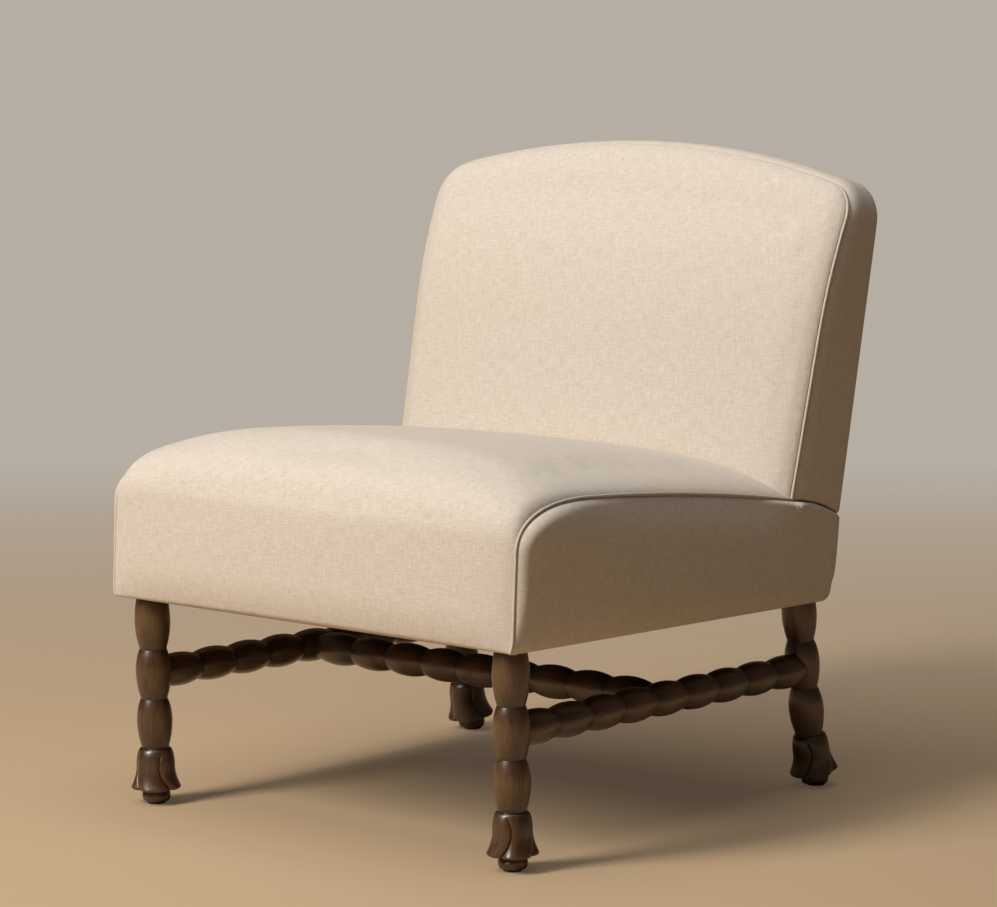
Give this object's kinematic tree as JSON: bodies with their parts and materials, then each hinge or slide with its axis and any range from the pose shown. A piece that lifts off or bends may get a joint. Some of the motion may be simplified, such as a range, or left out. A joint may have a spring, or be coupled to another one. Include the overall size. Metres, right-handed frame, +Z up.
{
  "type": "armless accent chair",
  "caption": "Armless upholstered accent chair with a crowned seat, a raked arched back, bobbin-turned legs with tulip feet and a bobbin-turned stretcher base.",
  "frame": {"origin": "on the floor, under the middle of the whole chair's plan", "axes": "+Z up, the chair faces -Y, +X to the right as seen from the front"},
  "size_m": [0.6584, 0.7167, 0.7983],
  "materials": {
    "turned_wood": "dark walnut stain under satin lacquer",
    "frame_wood": "planed hardwood, bare",
    "cover_fabric": "oatmeal linen-look plain weave",
    "padding": "polyurethane foam under fibre wrap",
    "inner_cloth": "black non-woven cloth and woven webbing",
    "steel": "zinc-plated wire and bar",
    "glide": "dark nylon on a nail"
  },
  "bodies": {
    "root": {"front_left_leg": "turned_wood", "front_right_leg": "turned_wood", "rear_left_leg": "turned_wood", "rear_right_leg": "turned_wood", "left_side_stretcher": "turned_wood", "right_side_stretcher": "turned_wood", "cross_stretcher": "turned_wood", "front_left_corner_post": "frame_wood", "front_right_corner_post": "frame_wood", "left_side_rail": "frame_wood", "right_side_rail": "frame_wood", "front_rail": "frame_wood", "rear_rail": "frame_wood", "left_back_post": "frame_wood", "right_back_post": "frame_wood", "back_rail": "frame_wood", "crest_rail": "frame_wood", "frame_dowels": "frame_wood", "seat_cover": "cover_fabric", "left_side_panel": "cover_fabric", "right_side_panel": "cover_fabric", "left_seat_welt": "cover_fabric", "right_seat_welt": "cover_fabric", "back_cover": "cover_fabric", "back_boxing": "cover_fabric", "back_welt": "cover_fabric", "outside_back": "cover_fabric", "seat_foam": "padding", "front_rail_pad": "padding", "left_side_pad": "padding", "right_side_pad": "padding", "back_foam": "padding", "deck_cloth": "inner_cloth", "back_webbing": "inner_cloth", "dust_cloth": "inner_cloth", "leg_bolts": "steel", "leg_inserts": "steel", "seat_springs": "steel", "spring_clips": "steel", "foot_glides": "glide"}
  },
  "joints": []
}
